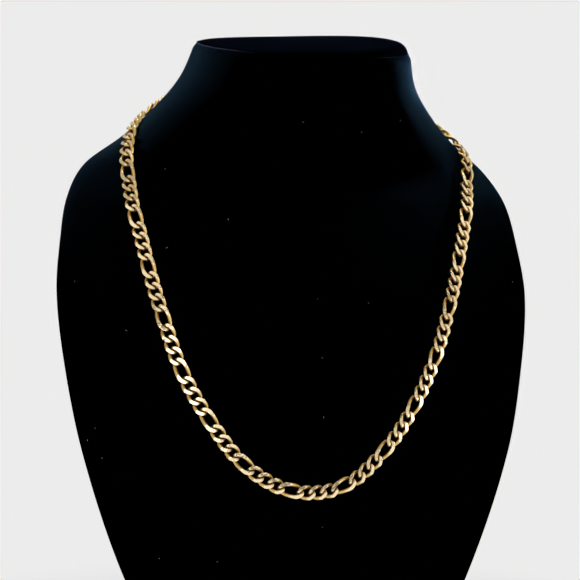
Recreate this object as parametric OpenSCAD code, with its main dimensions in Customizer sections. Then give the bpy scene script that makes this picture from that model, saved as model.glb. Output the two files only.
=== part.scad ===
// Figaro chain necklace on the velvet neck bust that displays it.
// Millimetres, +Z up. The front of the bust faces -Y, and left is -X.
// The origin is the middle of the flat face that the bust stands on.

/* [Neck bust] */
// Height of the bust at the middle of its neck cap
bust_h = 235; // [220:1:250]
// Width of the bust across the chest, its widest place
bust_w = 183; // [165:1:200]
// Depth of the bust through the chest
bust_d = 83.5; // [76:0.5:92]
// Distance of the neck's middle behind the middle of the base
neck_set_back = 32; // [26:0.5:38]
// Squareness of the bust's level sections, where 2 gives an ellipse
squareness = 2.3; // [2:0.1:2.8]
// Angle of the neck cap, which slopes down to the front
cap_slope = 3.8; // [0:0.2:7]
// Radius of the rounded edge round the neck cap
cap_edge_r = 3; // [1:0.5:5]
// Radius of the rounded edge round the base
base_edge_r = 2; // [1:0.5:4]

/* [Chain] */
// Width of the chain across its links
chain_w = 5.4; // [5.2:0.1:6]
// Thickness of the chain between its two ground faces
chain_t = 2; // [1.8:0.1:2.4]
// Diameter of the links' wire
wire_d = 1.3; // [1.2:0.05:1.35]
// Pitch of a short link, from one joint to the next
short_pitch = 4.25; // [4.1:0.05:4.8]
// Pitch of a long link
long_pitch = 7.15; // [6.4:0.05:9]
// Number of short links before each long one
short_run = 3; // [2:1:5]
// Twist of a link from its middle to each end
link_twist = 50; // [48:1:52]
// Play between two wires that hook into each other
link_play = 0.2; // [0.18:0.01:0.24]
// Gap between the chain and the bust's skin
rest_gap = 0.3; // [0.2:0.05:0.6]

/* [Clasp] */
// Length of the clasp from tip to tip
clasp_l = 15; // [12:0.1:16]
// Width of the clasp at its claw
clasp_w = 6; // [5.6:0.1:7]
// Thickness of the clasp
clasp_t = 1.6; // [1.2:0.1:1.8]
// Width of metal round each of the clasp's eyes
clasp_rim = 1.1; // [0.9:0.1:1.2]
// Radius of the clasp's small eye
clasp_eye_r = 1; // [0.95:0.05:1.2]
// Radius of a jump ring at the middle of its wire
ring_r = 2.3; // [2.2:0.1:2.6]
// Diameter of a jump ring's wire
ring_wire_d = 0.9; // [0.7:0.05:0.9]
// Angle that a jump ring leans over from standing on edge
ring_lean = 20; // [15:1:25]
// Play between a jump ring and what it holds
ring_play = 0.4; // [0.35:0.01:0.45]

/* [Hidden] */

// Sections of the bust from the base to the cap. Columns: height as a share of bust_h, half width
// as a share of bust_w / 2, half depth as a share of bust_d / 2, set-back as a share of neck_set_back.
SECTIONS = [
    [0.000, 0.540, 0.980, 0.00],
    [0.175, 0.750, 0.980, 0.03],
    [0.350, 0.900, 0.995, 0.10],
    [0.485, 0.970, 1.000, 0.27],
    [0.600, 1.000, 0.970, 0.44],
    [0.685, 0.980, 0.870, 0.63],
    [0.750, 0.945, 0.795, 0.81],
    [0.800, 0.865, 0.770, 1.00],
    [0.845, 0.715, 0.785, 0.95],
    [0.885, 0.605, 0.820, 0.87],
    [0.940, 0.490, 0.900, 0.73],
    [1.000, 0.430, 0.975, 0.56],
];

// Points that the chain passes on the bust, once round from behind the neck over the left shoulder.
// Columns: angle round the section (90 is the front, 180 the left), height as a share of bust_h.
CHAIN_ROUTE = [
    [273, 0.920],
    [241, 0.915],
    [214, 0.899],
    [194, 0.877],
    [175, 0.857],
    [156, 0.831],
    [143, 0.794],
    [136, 0.727],
    [132, 0.656],
    [128.5, 0.585],
    [125, 0.507],
    [119.5, 0.435],
    [112, 0.369],
    [101, 0.330],
    [87.5, 0.334],
    [77, 0.385],
    [69.5, 0.451],
    [64, 0.524],
    [60, 0.598],
    [55, 0.666],
    [49, 0.732],
    [41, 0.787],
    [26, 0.828],
    [7, 0.854],
    [-14, 0.877],
    [-36, 0.900],
    [-62, 0.915],
];

// Sides and steps of the meshed shapes
BUST_SIDES = 46;
BUST_STEPS = 3;
EDGE_STEPS = 3;
WIRE_SIDES = 5;
SHORT_STEPS = 12;
LONG_STEPS = 14;
ROUTE_STEPS = 10;

VELVET = [0.03, 0.03, 0.035];
GOLD = [0.86, 0.66, 0.3];
LAST_SECTION = len(SECTIONS) - 1;
ROUTE_POINTS = len(CHAIN_ROUTE);

// Share of the height above which the sections start to tilt towards the sloping cap
TILT_START = 0.89;

// Rows of the route, counted from the clasp, between which the chain comes down from its rings
RISE_ROWS = [0.35, 1.7];

function unit(v) = v / norm(v);

function running_sum(list) = [
    for (i = 0, sum = 0; i <= len(list); sum = sum + (i < len(list) ? list[i] : 0), i = i + 1) sum
];

// Form of the bust: a smooth curve through the rows of SECTIONS, and squared ellipses around it.

function section_slope(i) =
    let (a = max(i - 1, 0))
    let (b = min(i + 1, LAST_SECTION))
    (SECTIONS[b] - SECTIONS[a]) / (SECTIONS[b][0] - SECTIONS[a][0]);

function section_below(share, i = 0) =
    i < LAST_SECTION - 1 && share > SECTIONS[i + 1][0] ? section_below(share, i + 1) : i;

function section_at(share) =
    let (i = section_below(share))
    let (h = SECTIONS[i + 1][0] - SECTIONS[i][0])
    let (t = (share - SECTIONS[i][0]) / h)
    SECTIONS[i] * (2 * pow(t, 3) - 3 * pow(t, 2) + 1)
    + SECTIONS[i + 1] * (3 * pow(t, 2) - 2 * pow(t, 3))
    + section_slope(i) * h * (pow(t, 3) - 2 * pow(t, 2) + t)
    + section_slope(i + 1) * h * (pow(t, 3) - pow(t, 2));

// Point on the bust's skin, or inside it by the inset
function skin(angle, height, inset = 0) =
    let (row = section_at(height / bust_h))
    let (reach = pow(pow(abs(cos(angle)), squareness) + pow(abs(sin(angle)), squareness), -1 / squareness))
    let (across = (row[1] * bust_w / 2 - inset) * cos(angle) * reach)
    let (behind = -(row[2] * bust_d / 2 - inset) * sin(angle) * reach)
    let (tilt = max(0, height / bust_h - TILT_START) / (1 - TILT_START))
    [across, behind + row[3] * neck_set_back, height + behind * tan(cap_slope) * tilt];

function skin_normal(angle, height) =
    let (up = skin(angle, height + 1) - skin(angle, height - 1))
    let (around = skin(angle + 1, height) - skin(angle - 1, height))
    unit(cross(up, around));

// Height and inset of each level ring of the bust's mesh
base_rings = [
    for (k = [0 : EDGE_STEPS])
        let (a = 90 * k / EDGE_STEPS)
        base_edge_r * [1 - cos(a), 1 - sin(a)]
];
wall_rings = [
    for (i = [0 : LAST_SECTION - 1], k = [0 : BUST_STEPS - 1])
        let (step = (SECTIONS[i + 1][0] - SECTIONS[i][0]) / BUST_STEPS)
        let (height = (SECTIONS[i][0] + k * step) * bust_h)
        if (height > 2 * base_edge_r && height < bust_h - 2 * cap_edge_r)
        [height, 0]
];
cap_rings = [
    for (k = [0 : EDGE_STEPS])
        let (a = 90 * k / EDGE_STEPS)
        [bust_h - cap_edge_r * (1 - sin(a)), cap_edge_r * (1 - cos(a))]
];
bust_rings = concat(base_rings, wall_rings, cap_rings);

// Faces between a row of rings, each with the same number of points
function wall_faces(first, rings, sides) = [
    for (i = [0 : rings - 2], j = [0 : sides - 1])
        let (a = first + i * sides + j)
        let (b = first + i * sides + (j + 1) % sides)
        each [[a, b, b + sides], [a, b + sides, a + sides]]
];

// Route of the chain: a smooth closed curve through CHAIN_ROUTE, held off the skin.

function route_point(i) =
    let (turns = floor(i / ROUTE_POINTS))
    CHAIN_ROUTE[i - turns * ROUTE_POINTS] - [360 * turns, 0];

function route_at(t) =
    let (i = floor(t))
    let (u = t - i)
    let (a = route_point(i - 1))
    let (b = route_point(i))
    let (c = route_point(i + 1))
    let (d = route_point(i + 2))
    (2 * b + (c - a) * u + (2 * a - 5 * b + 4 * c - d) * pow(u, 2) + (3 * b - a - 3 * c + d) * pow(u, 3)) / 2;

// Distances of the chain's middle and of a jump ring's middle from the skin
chain_off = chain_t / 2 + rest_gap;
ring_off = ring_r + ring_wire_d / 2 + rest_gap;

// Distance of the route from the skin, which grows to a jump ring's behind the neck
function route_off(t) =
    let (away = min(t, ROUTE_POINTS - t))
    let (share = max(0, min(1, (RISE_ROWS[1] - away) / (RISE_ROWS[1] - RISE_ROWS[0]))))
    chain_off + (ring_off - chain_off) * pow(share, 2) * (3 - 2 * share);

track = [for (k = [0 : ROUTE_POINTS * ROUTE_STEPS]) route_at(k / ROUTE_STEPS)];
track_normals = [for (p = track) skin_normal(p[0], p[1] * bust_h)];
track_points = [
    for (k = [0 : len(track) - 1])
        skin(track[k][0], track[k][1] * bust_h) + track_normals[k] * route_off(k / ROUTE_STEPS)
];
track_steps = [for (k = [0 : len(track) - 2]) norm(track_points[k + 1] - track_points[k])];
track_lengths = running_sum(track_steps);
loop_l = track_lengths[len(track) - 1];

// Value of a listed vector at a length along the route
function along(values, s) =
    let (turn = s - loop_l * floor(s / loop_l))
    [for (axis = [0 : 2]) lookup(turn, [for (k = [0 : len(track) - 1]) [track_lengths[k], values[k][axis]]])];

// Clasp and rings, measured along the chain from the joint of the chain's end link
hook_gap = (wire_d + link_play) / 2;
ring_middle = ring_r + hook_gap - (wire_d + ring_wire_d) / 2 - ring_play;
eye_reach = sqrt(pow(ring_r - ring_wire_d / 2 - ring_play, 2) - pow(clasp_t / 2 / cos(ring_lean), 2));
clasp_tip = ring_middle + eye_reach - clasp_rim;
clasp_span = clasp_l + 2 * clasp_tip;

// Links of the chain, counted from the clasp
repeat_l = short_run * short_pitch + long_pitch;
repeats = floor((loop_l - clasp_span) / repeat_l);
spare_links = min(short_run, round((loop_l - clasp_span - repeats * repeat_l) / short_pitch));
link_count = repeats * (short_run + 1) + spare_links;
half_count = floor(link_count / 2);
pitch_fit = (loop_l - clasp_span) / (repeats * repeat_l + spare_links * short_pitch);

function is_long(i) = i % (short_run + 1) == short_run;

pitches = [for (i = [0 : link_count - 1]) pitch_fit * (is_long(i) ? long_pitch : short_pitch)];
joint_lengths = clasp_span / 2 * [for (i = [0 : link_count]) 1] + running_sum(pitches);

// How far a place on the chain lifts off where it goes over a round of the bust
function round_lift(s, normal) =
    let (h = long_pitch / 2)
    let (bend = along(track_points, s + h) + along(track_points, s - h) - 2 * along(track_points, s))
    max(0, -bend * normal) / 2;

joints = [
    for (s = joint_lengths)
        let (normal = unit(along(track_normals, s)))
        along(track_points, s) + normal * round_lift(s, normal)
];

// Frame between two points: x along them, z out from the bust
function frame_between(a, b, outward) =
    let (x = unit(b - a))
    let (z = unit(outward - x * (outward * x)))
    [x, cross(z, x), z, (a + b) / 2];

function link_frame(i) =
    frame_between(joints[i], joints[i + 1], along(track_normals, (joint_lengths[i] + joint_lengths[i + 1]) / 2));

function placed(p, frame) = frame[3] + frame[0] * p[0] + frame[1] * p[1] + frame[2] * p[2];

// A link's wire runs round an oval, with a corner of its section on the inner side. The oval is
// twisted about its length and its two faces are ground flat.
function link_points(pitch, steps) =
    let (half_w = (chain_w - wire_d) / 2)
    let (half_l = pitch / 2 + hook_gap)
    let (straight = max(0, half_l - half_w))
    [
        for (k = [0 : steps - 1])
            let (a = 360 * k / steps)
            let (side = abs(cos(a)) < 0.001 ? 0 : sign(cos(a)))
            for (j = [0 : WIRE_SIDES - 1])
                let (b = 360 * (j + 0.5) / WIRE_SIDES)
                let (r = half_w + wire_d / 2 * cos(b))
                let (x = side * straight + r * cos(a))
                let (y = r * sin(a))
                let (z = wire_d / 2 * sin(b))
                let (turn = -link_twist * x / half_l)
                let (high = y * sin(turn) + z * cos(turn))
                [x, y * cos(turn) - z * sin(turn), max(-chain_t / 2, min(chain_t / 2, high))]
    ];

function link_steps(i) = is_long(i) ? LONG_STEPS : SHORT_STEPS;

function tube_faces(first, rings, sides) = [
    for (i = [0 : rings - 1], j = [0 : sides - 1])
        let (next = (i + 1) % rings)
        let (a = first + i * sides + j)
        let (b = first + i * sides + (j + 1) % sides)
        let (c = first + next * sides + (j + 1) % sides)
        let (d = first + next * sides + j)
        each [[a, b, c], [a, c, d]]
];

module links(first, last) {
    counts = [for (i = [first : last]) link_steps(i)];
    starts = running_sum(counts) * WIRE_SIDES;
    points = [
        for (i = [first : last])
            let (frame = link_frame(i))
            for (p = link_points(pitches[i], link_steps(i)))
                placed(p, frame)
    ];
    faces = [for (i = [0 : last - first]) each tube_faces(starts[i], counts[i], WIRE_SIDES)];
    color(GOLD)
        polyhedron(points, faces);
}

module chain_left() {
    links(0, half_count - 1);
}

module chain_right() {
    links(half_count, link_count - 1);
}

module neck_bust() {
    points = [
        for (ring = bust_rings, j = [0 : BUST_SIDES - 1])
            skin(360 * j / BUST_SIDES, ring[0], ring[1])
    ];
    top = len(points) - BUST_SIDES;
    base_face = [for (j = [BUST_SIDES - 1 : -1 : 0]) j];
    cap_face = [for (j = [0 : BUST_SIDES - 1]) top + j];
    faces = concat([base_face], wall_faces(0, len(bust_rings), BUST_SIDES), [cap_face]);
    color(VELVET)
        polyhedron(points, faces);
}

// The clasp lies behind the neck between the chain's two end joints
clasp_frame = frame_between(joints[link_count], joints[0], along(track_normals, 0));

module at_clasp() {
    f = clasp_frame;
    rows = [for (axis = [0 : 2]) [f[0][axis], f[1][axis], f[2][axis], f[3][axis]]];
    multmatrix(concat(rows, [[0, 0, 0, 1]]))
        children();
}

// A drop outline: a round claw at one end and a small eye at the other
module clasp() {
    claw_r = clasp_w / 2;
    tail_r = clasp_eye_r + clasp_rim;
    claw_x = clasp_l / 2 - claw_r;
    tail_x = clasp_l / 2 - tail_r;
    tangent = acos((claw_r - tail_r) / (claw_x + tail_x));
    flank = [cos(tangent), sin(tangent)];
    color(GOLD)
        at_clasp()
            translate([0, 0, -clasp_t / 2])
                linear_extrude(clasp_t)
                    difference() {
                        union() {
                            translate([-claw_x, 0])
                                circle(claw_r, $fn = 48);
                            translate([tail_x, 0])
                                circle(tail_r, $fn = 48);
                            polygon([
                                [-claw_x + claw_r * flank[0], claw_r * flank[1]],
                                [-claw_x + claw_r * flank[0], -claw_r * flank[1]],
                                [tail_x + tail_r * flank[0], -tail_r * flank[1]],
                                [tail_x + tail_r * flank[0], tail_r * flank[1]],
                            ]);
                        }
                        translate([-claw_x, 0])
                            circle(claw_r - clasp_rim, $fn = 48);
                        translate([tail_x, 0])
                            circle(clasp_eye_r, $fn = 48);
                    }
}

// A jump ring stands on edge between the chain and the clasp
module jump_ring(side) {
    color(GOLD)
        at_clasp()
            translate([side * (clasp_span / 2 - ring_middle), 0, 0])
                rotate([90 + side * ring_lean, 0, 0])
                    rotate_extrude($fn = 48)
                        translate([ring_r, 0])
                            circle(d = ring_wire_d, $fn = 24);
}

module jump_ring_left() {
    jump_ring(1);
}

module jump_ring_right() {
    jump_ring(-1);
}

neck_bust();
chain_left();
chain_right();
clasp();
jump_ring_left();
jump_ring_right();
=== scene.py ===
"""Looks of a figaro chain necklace on its black velvet display bust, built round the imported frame."""
import math

import bmesh
import bpy
import numpy as np
from mathutils import Matrix, Vector
from mathutils.geometry import tessellate_polygon


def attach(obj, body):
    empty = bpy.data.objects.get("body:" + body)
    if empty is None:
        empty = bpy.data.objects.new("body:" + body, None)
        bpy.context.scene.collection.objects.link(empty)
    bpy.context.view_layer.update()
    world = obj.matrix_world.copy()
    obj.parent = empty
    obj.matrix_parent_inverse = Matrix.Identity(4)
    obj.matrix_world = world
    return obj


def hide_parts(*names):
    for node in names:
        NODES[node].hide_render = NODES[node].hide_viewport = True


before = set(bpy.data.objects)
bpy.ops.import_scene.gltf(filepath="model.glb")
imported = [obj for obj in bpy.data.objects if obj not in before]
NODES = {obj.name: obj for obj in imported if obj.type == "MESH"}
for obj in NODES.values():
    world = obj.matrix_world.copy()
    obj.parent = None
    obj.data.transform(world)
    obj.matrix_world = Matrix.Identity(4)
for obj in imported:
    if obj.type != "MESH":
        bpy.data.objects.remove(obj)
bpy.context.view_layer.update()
MM = 0.001
# Points of a CAD node that lie nearer than this, in metres, are merged
MERGE_REACH = 2e-6

# Neck bust, as in the part's source: lengths in millimetres, and the cap's slope in degrees
BUST_H, BUST_W, BUST_D, NECK_SET_BACK = 235.0, 183.0, 83.5, 32.0
SQUARENESS, CAP_SLOPE, CAP_EDGE_R, BASE_EDGE_R, TILT_START = 2.3, 3.8, 3.0, 2.0, 0.89
# Columns: height share, half width share, half depth share, set-back share
SECTIONS = np.array([
    [0.000, 0.540, 0.980, 0.00],
    [0.175, 0.750, 0.980, 0.03],
    [0.350, 0.900, 0.995, 0.10],
    [0.485, 0.970, 1.000, 0.27],
    [0.600, 1.000, 0.970, 0.44],
    [0.685, 0.980, 0.870, 0.63],
    [0.750, 0.945, 0.795, 0.81],
    [0.800, 0.865, 0.770, 1.00],
    [0.845, 0.715, 0.785, 0.95],
    [0.885, 0.605, 0.820, 0.87],
    [0.940, 0.490, 0.900, 0.73],
    [1.000, 0.430, 0.975, 0.56],
])
# How far the velvet's pile stands off the solid bust
PILE = 0.2
# The neck cap's seam, in degrees up its rounded edge, and the welt on it
SEAM_TURN, WELT_H, WELT_W = 45.0, 0.4, 0.9
# The cap's padding: how far it rounds inward from the seam, and its rise above the solid at the +X end
PAD_EDGE, PAD_RISE = 3.6, 3.6
# Points in each ring of the bust. Then rings, counted with both ends: up its wall, round its base's edge
# and round its cap's edge up to the seam, over the padding's edge, and across each flat end.
BUST_SIDES, WALL_RINGS, EDGE_RINGS, PAD_RINGS, FLAT_RINGS = 256, 232, 9, 21, 14

# Chain, as in the part's source: the wire in millimetres, and a link's twist in degrees
WIRE_D, LINK_TWIST = 1.3, 50.0
# Reach of the solid links' five-sided wire past its middle, towards a link's end
SOLID_WIRE_REACH = WIRE_D / 2 * math.cos(math.pi / 5)
# The links shown: width and thickness over their ground faces, and the wire's own width and thickness
LINK_W, LINK_T, WIRE_W, WIRE_T = 5.5, 2.1, 1.42, 1.4
# How much lower a ground face is at the link's edges than at its middle
FACE_CROWN = 0.18
# Rings round each bend of a link, rings along each side of it, and points in each ring
ARC_STEPS, SIDE_STEPS, WIRE_SIDES = 28, 10, 20
LINK_STEPS = 2 * (ARC_STEPS + SIDE_STEPS)
# Edges bent by more than this, in degrees, are drawn sharp: on the links, and on the clasp and rings
LINK_SHARP, FITTING_SHARP = 28, 40

# Clasp and jump rings, in millimetres, as in the part's source
CLASP_L, CLASP_W, CLASP_T, CLASP_RIM, CLASP_EYE_R = 15.0, 6.0, 1.6, 1.1, 1.0
RING_R, RING_WIRE_D = 2.3, 0.9
# How far the clasp's edges are rounded, and half of the angle in degrees that a jump ring's cut takes
CLASP_ROUND, RING_CUT = 0.45, 1.2
# Points round the clasp's claw, its tail and the eyes in them, and rows over its rounded edges
CLAW_STEPS, TAIL_STEPS, CLAW_EYE_STEPS, TAIL_EYE_STEPS, ROUND_ROWS = 61, 41, 65, 49, 13
# Rings along a jump ring and points in each, and how near to a ground face it looks, in polish and in
# the painted highlight tone
RING_STEPS, RING_SIDES, RING_POLISH_AND_HIGHLIGHT = 97, 20, 0.75

# Lint on the velvet: how many fibres, the seed of their places, and their lengths and thickness in
# millimetres
LINT_COUNT, LINT_SEED, LINT_L, LINT_D = 50, 8, (0.35, 0.9), 0.2
# Between which shares of the bust's height it lies, and each fibre's rings and sides
LINT_ZONE, LINT_STEPS, LINT_SIDES = (0.05, 0.97), 5, 6
# How far apart two points lie, in millimetres and in radians, that give the skin's slope at a fibre
SKIN_RISE, SKIN_TURN = 0.5, 0.01


# Mesh helpers
def unit(vectors):
    return vectors / np.linalg.norm(vectors, axis=-1, keepdims=True)


def mesh_object(name, verts_mm, faces, sharp_above=None):
    """A smooth mesh, where edges bent by more than an angle in degrees can be drawn sharp."""
    mesh = bpy.data.meshes.new(name)
    mesh.from_pydata((np.asarray(verts_mm, float) * MM).tolist(), [], faces)
    mesh.validate()
    mesh.shade_smooth()
    if sharp_above is not None:
        mesh.set_sharp_from_angle(angle=math.radians(sharp_above))
    obj = bpy.data.objects.new(name, mesh)
    bpy.context.scene.collection.objects.link(obj)
    return obj


def point_attribute(obj, name, values):
    layer = obj.data.attributes.new(name, "FLOAT", "POINT")
    layer.data.foreach_set("value", np.asarray(values, np.float32))


def node_mesh(name):
    """A CAD node's merged points in millimetres, and its edges."""
    bm = bmesh.new()
    bm.from_mesh(NODES[name].data)
    bmesh.ops.remove_doubles(bm, verts=bm.verts, dist=MERGE_REACH)
    bm.verts.index_update()
    points = np.array([v.co for v in bm.verts], float) / MM
    edges = np.array([[v.index for v in e.verts] for e in bm.edges])
    bm.free()
    return points, edges


def shells(points, edges):
    """Indices of the points of each separate shell."""
    label = np.arange(len(points))
    while True:
        before = label.copy()
        low = np.minimum(label[edges[:, 0]], label[edges[:, 1]])
        np.minimum.at(label, edges[:, 0], low)
        np.minimum.at(label, edges[:, 1], low)
        label = label[label]
        if (label == before).all():
            return [np.flatnonzero(label == k) for k in np.unique(label)]


def shape_axes(points):
    """Middle and right-handed axes of a symmetric shape: the longest first, the shortest last."""
    middle = points.mean(0)
    _, vectors = np.linalg.eigh(np.cov((points - middle).T))
    x, z = vectors[:, 2], vectors[:, 0]
    return middle, np.array([x, np.cross(z, x), z])


def grid_faces(rings, sides, closed):
    """Quads of a grid of rings, each closed on itself, which may close on the first ring too."""
    faces = []
    for i in range(rings if closed else rings - 1):
        a, b = i * sides, (i + 1) % rings * sides
        for j in range(sides):
            k = (j + 1) % sides
            faces.append((a + j, a + k, b + k, b + j))
    return faces


# Materials. A noise is given as its cells in a metre, its detail and, if need be, its roughness.
# A spread is the part of a noise's range that is stretched over a whole range of another value.
# A bump is given as its strength and its depth in metres.
SPREAD, WIDE_SPREAD = (0.3, 0.7), (0.2, 0.8)


def new_material(name):
    mat = bpy.data.materials.new(name)
    mat.use_nodes = True
    tree = mat.node_tree
    return mat, tree, tree.nodes["Principled BSDF"]


def add(tree, kind, **values):
    node = tree.nodes.new(kind)
    for key, value in values.items():
        if key in node.bl_rna.properties:
            setattr(node, key, value)
        else:
            node.inputs[key.replace("_", " ")].default_value = value
    return node


def noise(tree, vector, scale, detail, roughness=0.5):
    node = add(tree, "ShaderNodeTexNoise", Scale=scale, Detail=detail, Roughness=roughness)
    tree.links.new(vector, node.inputs["Vector"])
    return node.outputs["Fac"]


def remap(tree, value, low, high, to_low, to_high):
    node = tree.nodes.new("ShaderNodeMapRange")
    tree.links.new(value, node.inputs["Value"])
    for key, number in (("From Min", low), ("From Max", high), ("To Min", to_low), ("To Max", to_high)):
        node.inputs[key].default_value = number
    return node.outputs["Result"]


def mixed(tree, share, a, b):
    """Colour mix by a share, where a and b are colours or sockets."""
    node = tree.nodes.new("ShaderNodeMix")
    node.data_type = "RGBA"
    tree.links.new(share, node.inputs["Factor"])
    for socket, value in (("A", a), ("B", b)):
        target = [s for s in node.inputs if s.name == socket and s.type == "RGBA"][0]
        if isinstance(value, tuple):
            target.default_value = (*value, 1.0)
        else:
            tree.links.new(value, target)
    return [s for s in node.outputs if s.type == "RGBA"][0]


def blended(tree, share, a, b):
    """Plain number mix by a share, where a and b are sockets."""
    node = tree.nodes.new("ShaderNodeMix")
    for key, value in (("Factor", share), ("A", a), ("B", b)):
        tree.links.new(value, [s for s in node.inputs if s.name == key and s.type == "VALUE"][0])
    return node.outputs["Result"]


def bump(tree, height, strength, distance, normal=None):
    node = add(tree, "ShaderNodeBump", Strength=strength, Distance=distance)
    tree.links.new(height, node.inputs["Height"])
    if normal is not None:
        tree.links.new(normal, node.inputs["Normal"])
    return node.outputs["Normal"]


def place_vector(tree):
    return tree.nodes.new("ShaderNodeTexCoord").outputs["Object"]


def attribute(tree, name):
    return add(tree, "ShaderNodeAttribute", attribute_name=name).outputs["Fac"]


# Gold: the wire's sides, from deep to pale, the ground faces, paler as a painted highlight tone, and the
# insides of the links, darker as painted shade
GOLD_SIDES = ((0.8, 0.55, 0.18), (0.9, 0.66, 0.26))
GOLD_FACE_HIGHLIGHT, GOLD_INNER_SHADE = (0.95, 0.79, 0.5), (0.4, 0.18, 0.03)
# From which polish a ground face shows, from which recess the inside's painted shade does, and how
# strongly at most
FACE_START, INNER_SHADE_START, INNER_SHADE_SHARE = 0.5, 0.4, 0.85
# Clouds of colour, fine wear, and uneven faces
GOLD_CLOUD, GOLD_WEAR, GOLD_UNEVEN = (220.0, 4.0), (2600.0, 4.0, 0.6), (700.0, 1.0)
WEAR_SPREAD, WEAR_BUMP, UNEVEN_BUMP = (0.3, 0.75), (0.12, 0.00002), (1.0, 0.0001)
# Roughness of the wire's sides and of the ground faces, each from smooth to worn
SIDE_ROUGHNESS, FACE_ROUGHNESS = (0.32, 0.42), (0.08, 0.15)
COAT_WEIGHT, COAT_ROUGHNESS = 0.35, 0.05


def gold_material():
    """Gold, pale and bright on the ground faces, where the paler colour is a painted highlight tone,
    duller on the sides, and darkened inside the links by painted shade.
    """
    mat, tree, shader = new_material("polished_gold")
    place = place_vector(tree)
    cloud = noise(tree, place, *GOLD_CLOUD)
    wear = noise(tree, place, *GOLD_WEAR)
    side = mixed(tree, remap(tree, cloud, *SPREAD, 0.0, 1.0), *GOLD_SIDES)
    # The ground faces get a paler colour, a painted highlight tone, as well as a smoother finish
    face = remap(tree, attribute(tree, "polish_and_highlight"), FACE_START, 1.0, 0.0, 1.0)
    colour = mixed(tree, face, side, GOLD_FACE_HIGHLIGHT)
    # The insides of the links get a darker colour: painted shade
    inner_shade = remap(tree, attribute(tree, "recess_shade"), INNER_SHADE_START, 1.0, 0.0, INNER_SHADE_SHARE)
    colour = mixed(tree, inner_shade, colour, GOLD_INNER_SHADE)
    tree.links.new(colour, shader.inputs["Base Color"])
    dull = remap(tree, wear, *WEAR_SPREAD, *SIDE_ROUGHNESS)
    bright = remap(tree, wear, *WEAR_SPREAD, *FACE_ROUGHNESS)
    tree.links.new(blended(tree, face, dull, bright), shader.inputs["Roughness"])
    uneven = bump(tree, noise(tree, place, *GOLD_UNEVEN), *UNEVEN_BUMP)
    tree.links.new(bump(tree, wear, *WEAR_BUMP, uneven), shader.inputs["Normal"])
    shader.inputs["Metallic"].default_value = 1.0
    shader.inputs["Coat Weight"].default_value = COAT_WEIGHT
    shader.inputs["Coat Roughness"].default_value = COAT_ROUGHNESS
    return mat


# Tones of the velvet and of its welt, paler on the welt as a painted highlight along the seam: laid
# down, standing up, and brushed against the nap
VELVET_TONES = ((0.0002, 0.0002, 0.0003), (0.0006, 0.0007, 0.001), (0.001, 0.0012, 0.0016))
WELT_HIGHLIGHT_TONES = ((0.03, 0.035, 0.07), (0.05, 0.056, 0.1), (0.06, 0.066, 0.11))
# The lie of the nap, brushed patches, and the pile
NAP_NOISE, PATCH_NOISE, PILE_NOISE = (28.0, 3.0), (150.0, 3.0), (3800.0, 2.0, 0.7)
NAP_SPREAD, PATCH_SPREAD, PATCH_SHARE = (0.35, 0.65), (0.5, 0.75), 0.6
PATCH_BUMP, PILE_BUMP = (0.15, 0.001), (0.3, 0.00025)
PILE_ROUGHNESS, SHEEN_ROUGHNESS = (0.85, 1.0), 0.32


def velvet_material(name, tones, sheen, tint):
    """Dark velvet whose pile has a sheen at its edges."""
    mat, tree, shader = new_material(name)
    place = place_vector(tree)
    nap = noise(tree, place, *NAP_NOISE)
    patch = noise(tree, place, *PATCH_NOISE)
    pile = noise(tree, place, *PILE_NOISE)
    laid, standing, brushed = tones
    colour = mixed(tree, remap(tree, nap, *NAP_SPREAD, 0.0, 1.0), laid, standing)
    colour = mixed(tree, remap(tree, patch, *PATCH_SPREAD, 0.0, PATCH_SHARE), colour, brushed)
    tree.links.new(colour, shader.inputs["Base Color"])
    tree.links.new(bump(tree, pile, *PILE_BUMP, bump(tree, patch, *PATCH_BUMP)), shader.inputs["Normal"])
    tree.links.new(remap(tree, pile, *WIDE_SPREAD, *PILE_ROUGHNESS), shader.inputs["Roughness"])
    shader.inputs["Specular IOR Level"].default_value = 0.0
    shader.inputs["Sheen Weight"].default_value = sheen
    shader.inputs["Sheen Roughness"].default_value = SHEEN_ROUGHNESS
    shader.inputs["Sheen Tint"].default_value = (*tint, 1.0)
    return mat


LINT_TONES, LINT_CLOUD = ((0.2, 0.2, 0.21), (0.42, 0.41, 0.4)), (400.0, 3.0)
LINT_ROUGHNESS, LINT_METAL = (0.5, 0.7), 0.4


def lint_material():
    """Grey fibres with a slight shine."""
    mat, tree, shader = new_material("grey_lint")
    cloud = noise(tree, place_vector(tree), *LINT_CLOUD)
    colour = mixed(tree, remap(tree, cloud, *SPREAD, 0.0, 1.0), *LINT_TONES)
    tree.links.new(colour, shader.inputs["Base Color"])
    tree.links.new(remap(tree, cloud, *SPREAD, *LINT_ROUGHNESS), shader.inputs["Roughness"])
    shader.inputs["Metallic"].default_value = LINT_METAL
    shader.inputs["Specular IOR Level"].default_value = 1.0
    return mat


BOARD_TONES, BOARD_GRAIN = ((0.012, 0.012, 0.013), (0.03, 0.029, 0.028)), (900.0, 4.0, 0.7)
BOARD_ROUGHNESS, BOARD_BUMP = (0.7, 0.95), (0.3, 0.0002)


def board_material():
    """The dark, matt board under the base."""
    mat, tree, shader = new_material("base_board")
    grain = noise(tree, place_vector(tree), *BOARD_GRAIN)
    colour = mixed(tree, remap(tree, grain, *SPREAD, 0.0, 1.0), *BOARD_TONES)
    tree.links.new(colour, shader.inputs["Base Color"])
    tree.links.new(bump(tree, grain, *BOARD_BUMP), shader.inputs["Normal"])
    tree.links.new(remap(tree, grain, *WIDE_SPREAD, *BOARD_ROUGHNESS), shader.inputs["Roughness"])
    return mat


GOLD = gold_material()
# Each velvet's sheen: how strong it is, and its tint
VELVET = velvet_material("black_velvet", VELVET_TONES, 0.8, (0.25, 0.6, 1.0))
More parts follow.
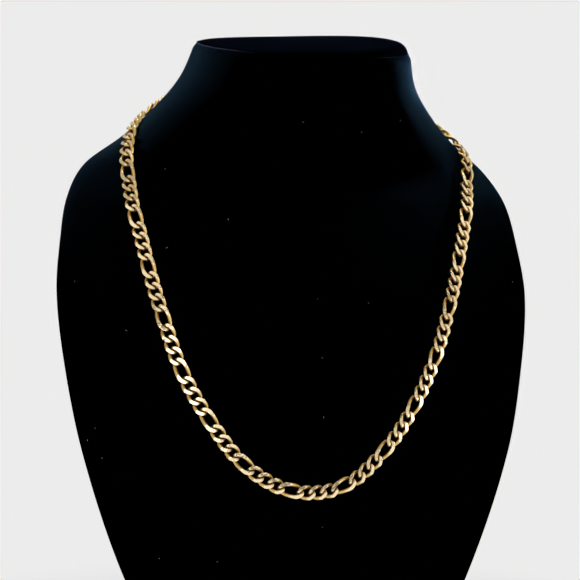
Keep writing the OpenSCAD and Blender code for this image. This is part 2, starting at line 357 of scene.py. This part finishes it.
# The cap's copy has a far weaker sheen, so that the cap's top looks less lit: painted shade
CAP_VELVET = velvet_material("black_velvet_cap", VELVET_TONES, 0.06, (0.25, 0.45, 1.0))
# The welt's paler tones are a painted highlight along the seam
WELT_VELVET = velvet_material("velvet_welt_painted_highlight", WELT_HIGHLIGHT_TONES, 0.8, (0.5, 0.65, 1.0))
BOARD = board_material()
LINT = lint_material()


# Neck bust
def section_rows(shares):
    """Rows of the table of sections at any shares of the height, on smooth curves through the table."""
    i = np.clip(np.searchsorted(SECTIONS[:, 0], shares) - 1, 0, len(SECTIONS) - 2)
    before = np.maximum(np.arange(len(SECTIONS)) - 1, 0)
    after = np.minimum(np.arange(len(SECTIONS)) + 1, len(SECTIONS) - 1)
    rise = SECTIONS[after] - SECTIONS[before]
    slopes = rise / rise[:, :1]
    h = (SECTIONS[i + 1, 0] - SECTIONS[i, 0])[:, None]
    t = (shares[:, None] - SECTIONS[i, :1]) / h
    return (
        SECTIONS[i] * (2 * t ** 3 - 3 * t ** 2 + 1)
        + SECTIONS[i + 1] * (3 * t ** 2 - 2 * t ** 3)
        + slopes[i] * h * (t ** 3 - 2 * t ** 2 + t)
        + slopes[i + 1] * h * (t ** 3 - t ** 2)
    )


def bust_skin(heights, insets, angles):
    """Points on the bust's skin: one ring for each height, moved in by its inset."""
    rows = section_rows(heights / BUST_H)
    cos, sin = np.cos(angles), np.sin(angles)
    reach = (np.abs(cos) ** SQUARENESS + np.abs(sin) ** SQUARENESS) ** (-1 / SQUARENESS)
    across = (rows[:, 1] * BUST_W / 2 - insets)[:, None] * (cos * reach)
    behind = -(rows[:, 2] * BUST_D / 2 - insets)[:, None] * (sin * reach)
    tilt = np.maximum(0, heights / BUST_H - TILT_START)[:, None] / (1 - TILT_START)
    up = heights[:, None] + behind * math.tan(math.radians(CAP_SLOPE)) * tilt
    return np.stack([across, behind + rows[:, 3:] * NECK_SET_BACK, up], -1)


def bust_profile():
    """Heights and insets of the bust's rings from the base up, and the turns of the padding's rings."""
    turn = np.radians(np.linspace(0, 90, EDGE_RINGS))
    base = BASE_EDGE_R * np.stack([1 - np.cos(turn), 1 - np.sin(turn)])
    wall = np.linspace(BASE_EDGE_R, BUST_H - CAP_EDGE_R, WALL_RINGS)[1:-1]
    turn = np.radians(np.linspace(0, SEAM_TURN, EDGE_RINGS))
    edge = np.stack([BUST_H - CAP_EDGE_R * (1 - np.sin(turn)), CAP_EDGE_R * (1 - np.cos(turn))])
    seam_height, seam_inset = edge[:, -1]
    turn = np.radians(np.linspace(0, 90, PAD_RINGS))[1:]
    pad = np.stack([
        seam_height + (BUST_H - seam_height) * np.sin(turn),
        seam_inset + PAD_EDGE * (1 - np.cos(turn)),
    ])
    heights, insets = np.concatenate([base, np.stack([wall, wall * 0]), edge, pad], axis=1)
    return heights, insets, turn


def velvet_rings():
    """Rings of the velvet from the base up, and their ways from the cap's seam along the +X side."""
    heights, insets, turn = bust_profile()
    angles = np.linspace(0, 2 * math.pi, BUST_SIDES, endpoint=False)
    rings = bust_skin(heights, insets, angles)
    # The padding's rise grows from nothing at the -X end to its full height at the +X end
    seam = len(heights) - PAD_RINGS
    along = (1 + rings[-1, :, 0] / rings[-1, :, 0].max()) / 2
    rings[seam + 1:, :, 2] += PAD_RISE * np.sin(turn)[:, None] * along ** 2
    # The pile and the welt stand out along the skin's normals
    around = np.roll(rings, -1, 1) - np.roll(rings, 1, 1)
    normals = unit(np.cross(np.gradient(rings, axis=0), around))
    steps = np.linalg.norm(np.diff(rings[:, 0], axis=0), axis=1)
    path = np.concatenate([[0], np.cumsum(steps)])
    path = path - path[seam]
    welt = WELT_H * np.exp(-(path / (WELT_W / 2)) ** 2)
    rings = rings + normals * (PILE + welt)[:, None, None]
    rings[:, :, 2] = np.maximum(rings[:, :, 2], 0)
    return rings, path


def build_bust():
    rings, path = velvet_rings()
    # Flat rings across the base and the cap, and a fan of triangles in the middle of each
    inward = np.linspace(0, 1, FLAT_RINGS)[1:-1]
    top = [rings[-1] + (rings[-1].mean(0) - rings[-1]) * s for s in inward]
    bottom = [rings[0] + (rings[0].mean(0) - rings[0]) * s for s in inward[::-1]]
    grid = np.concatenate([bottom, rings, top])
    verts = np.concatenate([grid.reshape(-1, 3), [rings[0].mean(0), rings[-1].mean(0)]])
    faces = grid_faces(len(grid), BUST_SIDES, False)
    low = len(grid) * BUST_SIDES
    last = low - BUST_SIDES
    for j in range(BUST_SIDES):
        k = (j + 1) % BUST_SIDES
        faces.append((low, k, j))
        faces.append((low + 1, last + j, last + k))
    obj = mesh_object("velvet_bust", verts, faces)
    for mat in (VELVET, BOARD, CAP_VELVET, WELT_VELVET):
        obj.data.materials.append(mat)
    # The rows of quads run from the base up: the flat base, the wall, the welt and the cap.
    # The triangles of the two fans come last, in turn.
    wall_slot, board_slot, cap_slot, welt_slot = range(4)
    slots = np.full(len(faces), wall_slot, np.int32)
    slots[:len(bottom) * BUST_SIDES] = board_slot
    welt_rows = len(bottom) + np.searchsorted(path, (-WELT_W / 2, WELT_W / 2))
    start, stop = welt_rows * BUST_SIDES
    slots[start:stop] = welt_slot
    slots[stop:] = cap_slot
    slots[-2 * BUST_SIDES::2] = board_slot
    obj.data.polygons.foreach_set("material_index", slots)
    return obj


# Chain
def link_form(half_l):
    """A link's points in its own axes, how far inside the oval each lies (for painted shade) and how
    near a ground face (for polish and a painted highlight tone).
    """
    half_w = (LINK_W - WIRE_W) / 2
    straight = max(0.0, half_l - half_w)
    # Each ring's direction from the middle of its bend, and where that middle lies along the link
    bend = np.linspace(-90, 90, ARC_STEPS, endpoint=False)
    run = np.linspace(straight, -straight, SIDE_STEPS, endpoint=False)
    turn = np.concatenate([bend, np.full(SIDE_STEPS, 90), bend + 180, np.full(SIDE_STEPS, 270)])
    middle = np.concatenate([np.full(ARC_STEPS, straight), run, np.full(ARC_STEPS, -straight), -run])
    turn, middle = np.radians(turn)[:, None], middle[:, None]
    round_wire = np.linspace(0, 2 * math.pi, WIRE_SIDES, endpoint=False)[None, :]
    reach = half_w + WIRE_W / 2 * np.cos(round_wire)
    x = middle + reach * np.cos(turn)
    y = reach * np.sin(turn)
    z = WIRE_T / 2 * np.sin(round_wire) + 0 * turn
    twist = -np.radians(LINK_TWIST) * x / half_l
    across = y * np.cos(twist) - z * np.sin(twist)
    high = y * np.sin(twist) + z * np.cos(twist)
    # The ground faces cut off what stands above and below them
    face = LINK_T / 2 - FACE_CROWN * (across * 2 / LINK_W) ** 2
    points = np.stack([x, across, np.clip(high, -face, face)], -1)
    # Inside the oval the gold gets painted shade; near a ground face it gets polish and a painted
    # highlight tone
    recess_shade = (1 - np.cos(round_wire)) / 2 + 0 * turn
    polish_and_highlight = np.clip(np.abs(high) / face, 0, 1)
    return points.reshape(-1, 3), recess_shade.reshape(-1), polish_and_highlight.reshape(-1)


def build_chain(node, name):
    """One half of the chain, with a link for each solid link of the CAD node, where that one lies."""
    points, edges = node_mesh(node)
    faces = np.array(grid_faces(LINK_STEPS, WIRE_SIDES, True))
    verts, quads, recess_shade, polish_and_highlight = [], [], [], []
    for shell in shells(points, edges):
        middle, axes = shape_axes(points[shell])
        half_l = np.abs((points[shell] - middle) @ axes[0]).max() - SOLID_WIRE_REACH
        form, deep, bright = link_form(half_l)
        quads.append(faces + sum(len(v) for v in verts))
        verts.append(middle + form @ axes)
        recess_shade.append(deep)
        polish_and_highlight.append(bright)
    obj = mesh_object(name, np.concatenate(verts), np.concatenate(quads).tolist(), LINK_SHARP)
    point_attribute(obj, "recess_shade", np.concatenate(recess_shade))
    point_attribute(obj, "polish_and_highlight", np.concatenate(polish_and_highlight))
    obj.data.materials.append(GOLD)
    return obj


# Clasp and jump rings
def tube(path, normal, radius, sides):
    """Points and faces of a round tube along an open path that lies across the normal."""
    side = np.cross(normal, unit(np.gradient(path, axis=0)))
    turn = np.linspace(0, 2 * math.pi, sides, endpoint=False)[None, :, None]
    rings = path[:, None] + radius * (np.cos(turn) * side[:, None] + np.sin(turn) * normal)
    last = (len(path) - 1) * sides
    ends = [tuple(range(sides))[::-1], tuple(range(last, last + sides))]
    return rings.reshape(-1, 3), grid_faces(len(path), sides, False) + ends


def node_axes(node):
    """Middle of a CAD node's box along its own axes, those axes, and its points measured in them."""
    points, _ = node_mesh(node)
    middle, axes = shape_axes(points)
    along = (points - middle) @ axes.T
    return middle + (along.min(0) + along.max(0)) / 2 @ axes, axes, along


def arc(middle, radius, start, end, steps):
    turn = np.radians(np.linspace(start, end, steps))
    return np.stack([middle + radius * np.cos(turn), radius * np.sin(turn)], -1)


def clasp_outlines(inset):
    """Outer outline of the clasp and both its eyes, moved into the metal by an inset."""
    claw_r, tail_r = CLASP_W / 2, CLASP_EYE_R + CLASP_RIM
    claw_x, tail_x = claw_r - CLASP_L / 2, CLASP_L / 2 - tail_r
    touch = math.degrees(math.acos((claw_r - tail_r) / (tail_x - claw_x)))
    outer = np.concatenate([
        arc(claw_x, claw_r - inset, touch, 360 - touch, CLAW_STEPS),
        arc(tail_x, tail_r - inset, -touch, touch, TAIL_STEPS),
    ])
    claw_eye = arc(claw_x, claw_r - CLASP_RIM + inset, 360, 0, CLAW_EYE_STEPS)[:-1]
    tail_eye = arc(tail_x, CLASP_EYE_R + inset, 360, 0, TAIL_EYE_STEPS)[:-1]
    return [outer, claw_eye, tail_eye]


def wall_faces(loops, rows):
    """Quads up the walls of a stack of equal rows, where each row holds the points of these loops."""
    row = sum(len(loop) for loop in loops)
    faces, start = [], 0
    for loop in loops:
        for r in range(rows - 1):
            low, high = r * row + start, (r + 1) * row + start
            for j in range(len(loop)):
                k = (j + 1) % len(loop)
                faces.append((low + j, low + k, high + k, high + j))
        start += len(loop)
    return faces


def end_faces(loops, shift):
    """Triangles that close such a stack's first row, and its last one, a shift of points further on."""
    points = [Vector(point) for point in np.concatenate(loops)]
    faces = []
    for tri in tessellate_polygon([[Vector((x, y, 0)) for x, y in loop] for loop in loops]):
        a, b, c = (points[i] for i in tri)
        if (b - a).cross(c - a) < 0:
            tri = tri[::-1]
        faces.append(tuple(i + shift for i in tri))
        faces.append(tuple(tri[::-1]))
    return faces


def build_clasp():
    middle, axes, along = node_axes("clasp")
    # The claw, the widest place, lies on the minus side of the first axis
    if along[np.abs(along[:, 1]).argmax(), 0] > 0:
        axes = axes * [[-1], [-1], [1]]
    turn = np.radians(np.linspace(-90, 90, ROUND_ROWS))
    heights = (CLASP_T / 2 - CLASP_ROUND) * np.sign(turn) + CLASP_ROUND * np.sin(turn)
    rows = [clasp_outlines(CLASP_ROUND * (1 - math.cos(t))) for t in turn]
    row = sum(len(loop) for loop in rows[0])
    faces = wall_faces(rows[0], ROUND_ROWS) + end_faces(rows[-1], (ROUND_ROWS - 1) * row)
    points = np.concatenate([
        np.column_stack([np.concatenate(loops), np.full(row, high)])
        for loops, high in zip(rows, heights)
    ])
    obj = mesh_object("lobster_clasp", middle + points @ axes, faces, FITTING_SHARP)
    # The clasp's flat faces get the polish and the painted highlight tone of a ground face
    point_attribute(obj, "polish_and_highlight", np.abs(points[:, 2]) * 2 / CLASP_T)
    obj.data.materials.append(GOLD)
    return obj


def build_ring(node, name):
    """A ring bent round from one wire, with its cut at the top."""
    middle, axes, _ = node_axes(node)
    up = unit(np.array([0, 0, 1]) - axes[2] * axes[2, 2])
    turn = np.radians(np.linspace(RING_CUT, 360 - RING_CUT, RING_STEPS))[:, None]
    path = middle + RING_R * (np.cos(turn) * up + np.sin(turn) * np.cross(axes[2], up))
    points, faces = tube(path, axes[2], RING_WIRE_D / 2, RING_SIDES)
    obj = mesh_object(name, points, faces, FITTING_SHARP)
    point_attribute(obj, "polish_and_highlight", np.full(len(points), RING_POLISH_AND_HIGHLIGHT))
    obj.data.materials.append(GOLD)
    return obj


# Lint on the velvet
def lint_fibre(rng):
    """Points and faces of one fibre that lies on the velvet, slightly bent, at a random place."""
    height = rng.uniform(*LINT_ZONE) * BUST_H
    turn = rng.uniform(0, 2 * math.pi)
    heights, turns = np.array([height, height + SKIN_RISE]), np.array([turn, turn + SKIN_TURN])
    skin = bust_skin(heights, np.zeros(2), turns)
    rise, around = unit(skin[1, 0] - skin[0, 0]), unit(skin[0, 1] - skin[0, 0])
    outward = np.cross(rise, around)
    aim = rng.uniform(0, math.pi)
    length = rng.uniform(*LINT_L)
    bend = rng.uniform(-1, 1)
    along = math.cos(aim) * around + math.sin(aim) * rise
    s = np.linspace(-length / 2, length / 2, LINT_STEPS)[:, None]
    path = skin[0, 0] + outward * (PILE + LINT_D / 2) + along * s
    path = path + np.cross(outward, along) * bend * s ** 2
    return tube(path, outward, LINT_D / 2, LINT_SIDES)


def build_lint():
    rng = np.random.default_rng(LINT_SEED)
    verts, faces = np.zeros((0, 3)), []
    for _ in range(LINT_COUNT):
        points, quads = lint_fibre(rng)
        faces += [tuple(i + len(verts) for i in face) for face in quads]
        verts = np.concatenate([verts, points])
    obj = mesh_object("velvet_lint", verts, faces)
    obj.data.materials.append(LINT)
    return obj


bust = build_bust()
chain_l = build_chain("chain_left", "figaro_links_left")
chain_r = build_chain("chain_right", "figaro_links_right")
clasp = build_clasp()
ring_l = build_ring("jump_ring_left", "cut_ring_left")
ring_r = build_ring("jump_ring_right", "cut_ring_right")
for piece, node, slot in (
    (bust, "neck_bust", "velvet"),
    (chain_l, "chain_left", "gold"),
    (chain_r, "chain_right", "gold"),
    (clasp, "clasp", "gold"),
    (ring_l, "jump_ring_left", "gold"),
    (ring_r, "jump_ring_right", "gold"),
):
    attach(piece, "root")
    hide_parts(node)
lint = build_lint()
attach(lint, "root")


# Camera, at the photograph's viewing angle. The photograph's size, the focal length and the middle of
# the lens are in its pixels, and the sensor's width is in millimetres.
TARGET, DISTANCE = Vector((0.0, -3.16, 153.3)) * MM, 702.6 * MM
ELEVATION, AZIMUTH, ROLL = math.radians(6.83), math.radians(-17.07), math.radians(2.04)
PHOTO, FOCAL_PX, AXIS_PX, SENSOR = 580, 1885.0, (310.97, 267.77), 36.0


def build_camera():
    back = Vector((
        math.sin(AZIMUTH) * math.cos(ELEVATION),
        -math.cos(AZIMUTH) * math.cos(ELEVATION),
        math.sin(ELEVATION),
    ))
    level = Vector((math.cos(AZIMUTH), math.sin(AZIMUTH), 0.0))
    high = back.cross(level)
    right = level * math.cos(ROLL) + high * math.sin(ROLL)
    up = high * math.cos(ROLL) - level * math.sin(ROLL)
    camera = bpy.data.objects.new("camera", bpy.data.cameras.new("camera"))
    bpy.context.scene.collection.objects.link(camera)
    camera.matrix_world = Matrix((right, up, back)).transposed().to_4x4()
    camera.location = TARGET + back * DISTANCE
    camera.data.sensor_width = SENSOR
    camera.data.lens = FOCAL_PX / PHOTO * SENSOR
    camera.data.shift_x = (PHOTO / 2 - AXIS_PX[0]) / PHOTO
    camera.data.shift_y = (AXIS_PX[1] - PHOTO / 2) / PHOTO
    camera.data.clip_start = 0.01
    return camera


bpy.context.scene.camera = build_camera()


# Floor, backdrop and light. Brightness of the backdrop and of the open floor.
BACKGROUND = 0.838
# The floor's brightness right under the object, how far its shadow reaches in metres, and its samples
CONTACT_SHADE, SHADE_REACH, SHADE_SAMPLES = 0.3, 0.12, 16
# In millimetres: radii of the floor with its backdrop and of the light tent, and how far the floor
# lies under the base
STAGE_R, TENT_R, FLOOR_DEPTH = 4000.0, 3000.0, 0.05
# Points round the stage, rings up a dome, and the angles in radians where a dome begins and ends
STAGE_SIDES, DOME_RINGS, DOME_START, DOME_END = 96, 24, -0.05, math.pi / 2 - 0.02
# How bright the light tent is on the camera's side of the object and on the other side, and its colour
TENT_FRONT, TENT_BRIGHT, TENT_COLOUR = 0.26, 0.52, (1.0, 0.93, 0.78)
# From where to where along Y that brightness changes, as shares of the tent's radius
TENT_BLEND = (-0.9, -0.1)
# The white table that the gold mirrors: its radii and its height in millimetres, and its brightness
TABLE_R, TABLE_Z, TABLE_GLOW = (120.0, 2000.0), 0.3, 0.98
# Boxes that the gold mirrors, aimed at the object's middle from the same reach in metres.
# Columns: name, degrees round from the front towards +X, degrees up, size in metres, watts.
MIDDLE, BOX_REACH = Vector((0.0, 0.0, 0.14)), 1.3
GOLD_BOXES = (
    ("camera_box", -8, 14, (0.85, 0.5), 1.1),
    ("low_left_box", -25, 6, (0.6, 0.45), 1.5),
    ("left_box", -42, 40, (1.0, 0.7), 1.25),
    ("front_box", 40, 12, (1.1, 0.65), 1.0),
    ("low_right_box", 44, 1, (0.5, 0.28), 0.95),
    ("right_box", 72, 38, (0.7, 0.6), 0.7),
    ("side_box", 85, 5, (0.8, 0.8), 1.0),
    ("back_box", 165, 62, (1.2, 0.8), 6.0),
)
# Flat beams on the neck and the shoulders, for the velvet alone. Columns as above, without the size.
BEAM_TARGET, BEAM_REACH, BEAM_SIZE, BEAM_SPREAD = Vector((0.0, 0.0, 0.182)), 0.5, (0.24, 0.07), 8.0
VELVET_BEAMS = (
    ("right_beam", 112, 30, 0.044),
    ("left_beam", -135, 30, 0.055),
)
WORLD_LIGHT = 0.0005


def glow_material(name, level, colour=(1, 1, 1)):
    """Plain light of one level, a number or a function that gives a socket in the material's tree."""
    mat = bpy.data.materials.new(name)
    mat.use_nodes = True
    tree = mat.node_tree
    tree.nodes.clear()
    glow = add(tree, "ShaderNodeEmission", Color=(*colour, 1))
    out = tree.nodes.new("ShaderNodeOutputMaterial")
    tree.links.new(glow.outputs[0], out.inputs["Surface"])
    if callable(level):
        tree.links.new(level(tree), glow.inputs["Strength"])
    else:
        glow.inputs["Strength"].default_value = level
    return mat


def tent_level(tree):
    split = tree.nodes.new("ShaderNodeSeparateXYZ")
    tree.links.new(place_vector(tree), split.inputs["Vector"])
    start, end = (share * TENT_R * MM for share in TENT_BLEND)
    return remap(tree, split.outputs["Y"], start, end, TENT_FRONT, TENT_BRIGHT)


def floor_level(tree):
    near = add(tree, "ShaderNodeAmbientOcclusion", samples=SHADE_SAMPLES, Distance=SHADE_REACH)
    return remap(tree, near.outputs["AO"], 0.0, 1.0, CONTACT_SHADE, BACKGROUND)


def staged(obj, mat, unseen):
    """A piece of the stage, unseen by some kinds of rays."""
    obj.data.materials.append(mat)
    for rays in unseen:
        setattr(obj, "visible_" + rays, False)


def dome(name, radius):
    turns = np.linspace(0, 2 * math.pi, STAGE_SIDES, endpoint=False)
    tilts = np.linspace(DOME_START, DOME_END, DOME_RINGS)[:, None]
    level, high = np.cos(tilts), np.sin(tilts)
    points = np.stack([level * np.cos(turns), level * np.sin(turns), high + 0 * turns], -1)
    last = (DOME_RINGS - 1) * STAGE_SIDES
    faces = grid_faces(DOME_RINGS, STAGE_SIDES, False) + [tuple(range(last, last + STAGE_SIDES))]
    return mesh_object(name, points.reshape(-1, 3) * radius, faces)


def build_stage():
    turns = np.linspace(0, 2 * math.pi, STAGE_SIDES, endpoint=False)
    circle = np.stack([np.cos(turns), np.sin(turns), 0 * turns], -1)
    floor = mesh_object("floor", circle * STAGE_R - [0, 0, FLOOR_DEPTH], [tuple(range(STAGE_SIDES))])
    staged(floor, glow_material("pale_floor", floor_level), ("diffuse",))
    # The backdrop is for the view alone, and the tent and its table for what the gold mirrors
    unlit = ("transmission", "shadow", "diffuse")
    staged(dome("backdrop", STAGE_R), glow_material("pale_backdrop", BACKGROUND), unlit + ("glossy",))
    cloth = glow_material("tent_cloth", tent_level, TENT_COLOUR)
    staged(dome("light_tent", TENT_R), cloth, unlit + ("camera",))
    rings = np.concatenate([circle * radius + [0, 0, TABLE_Z] for radius in TABLE_R])
    table = mesh_object("tent_table", rings, grid_faces(2, STAGE_SIDES, False))
    staged(table, glow_material("tent_table", TABLE_GLOW), unlit + ("camera",))


def area_light(name, target, reach, around, rise, size, power):
    """A flat light aimed at a target from a reach away, some degrees round and some degrees up."""
    turn, tilt = math.radians(around), math.radians(rise)
    way = Vector((math.sin(turn) * math.cos(tilt), -math.cos(turn) * math.cos(tilt), math.sin(tilt)))
    data = bpy.data.lights.new(name, "AREA")
    data.shape = "RECTANGLE"
    data.size, data.size_y = size
    data.energy = power
    obj = bpy.data.objects.new(name, data)
    bpy.context.scene.collection.objects.link(obj)
    obj.location = target + way * reach
    obj.rotation_euler = (-way).to_track_quat("-Z", "Y").to_euler()
    obj.visible_camera = False
    return obj


def build_lights():
    for name, around, rise, size, power in GOLD_BOXES:
        box = area_light(name, MIDDLE, BOX_REACH, around, rise, size, power)
        box.visible_diffuse = False
    for name, around, rise, power in VELVET_BEAMS:
        beam = area_light(name, BEAM_TARGET, BEAM_REACH, around, rise, BEAM_SIZE, power)
        beam.data.spread = math.radians(BEAM_SPREAD)
        beam.visible_glossy = False


def build_world():
    world = bpy.data.worlds.new("studio")
    world.use_nodes = True
    sky = world.node_tree.nodes["Background"]
    sky.inputs["Color"].default_value = (1.0, 1.0, 1.0, 1.0)
    sky.inputs["Strength"].default_value = WORLD_LIGHT
    return world


build_stage()
build_lights()
bpy.context.scene.world = build_world()
bpy.context.scene.view_settings.view_transform = "Standard"
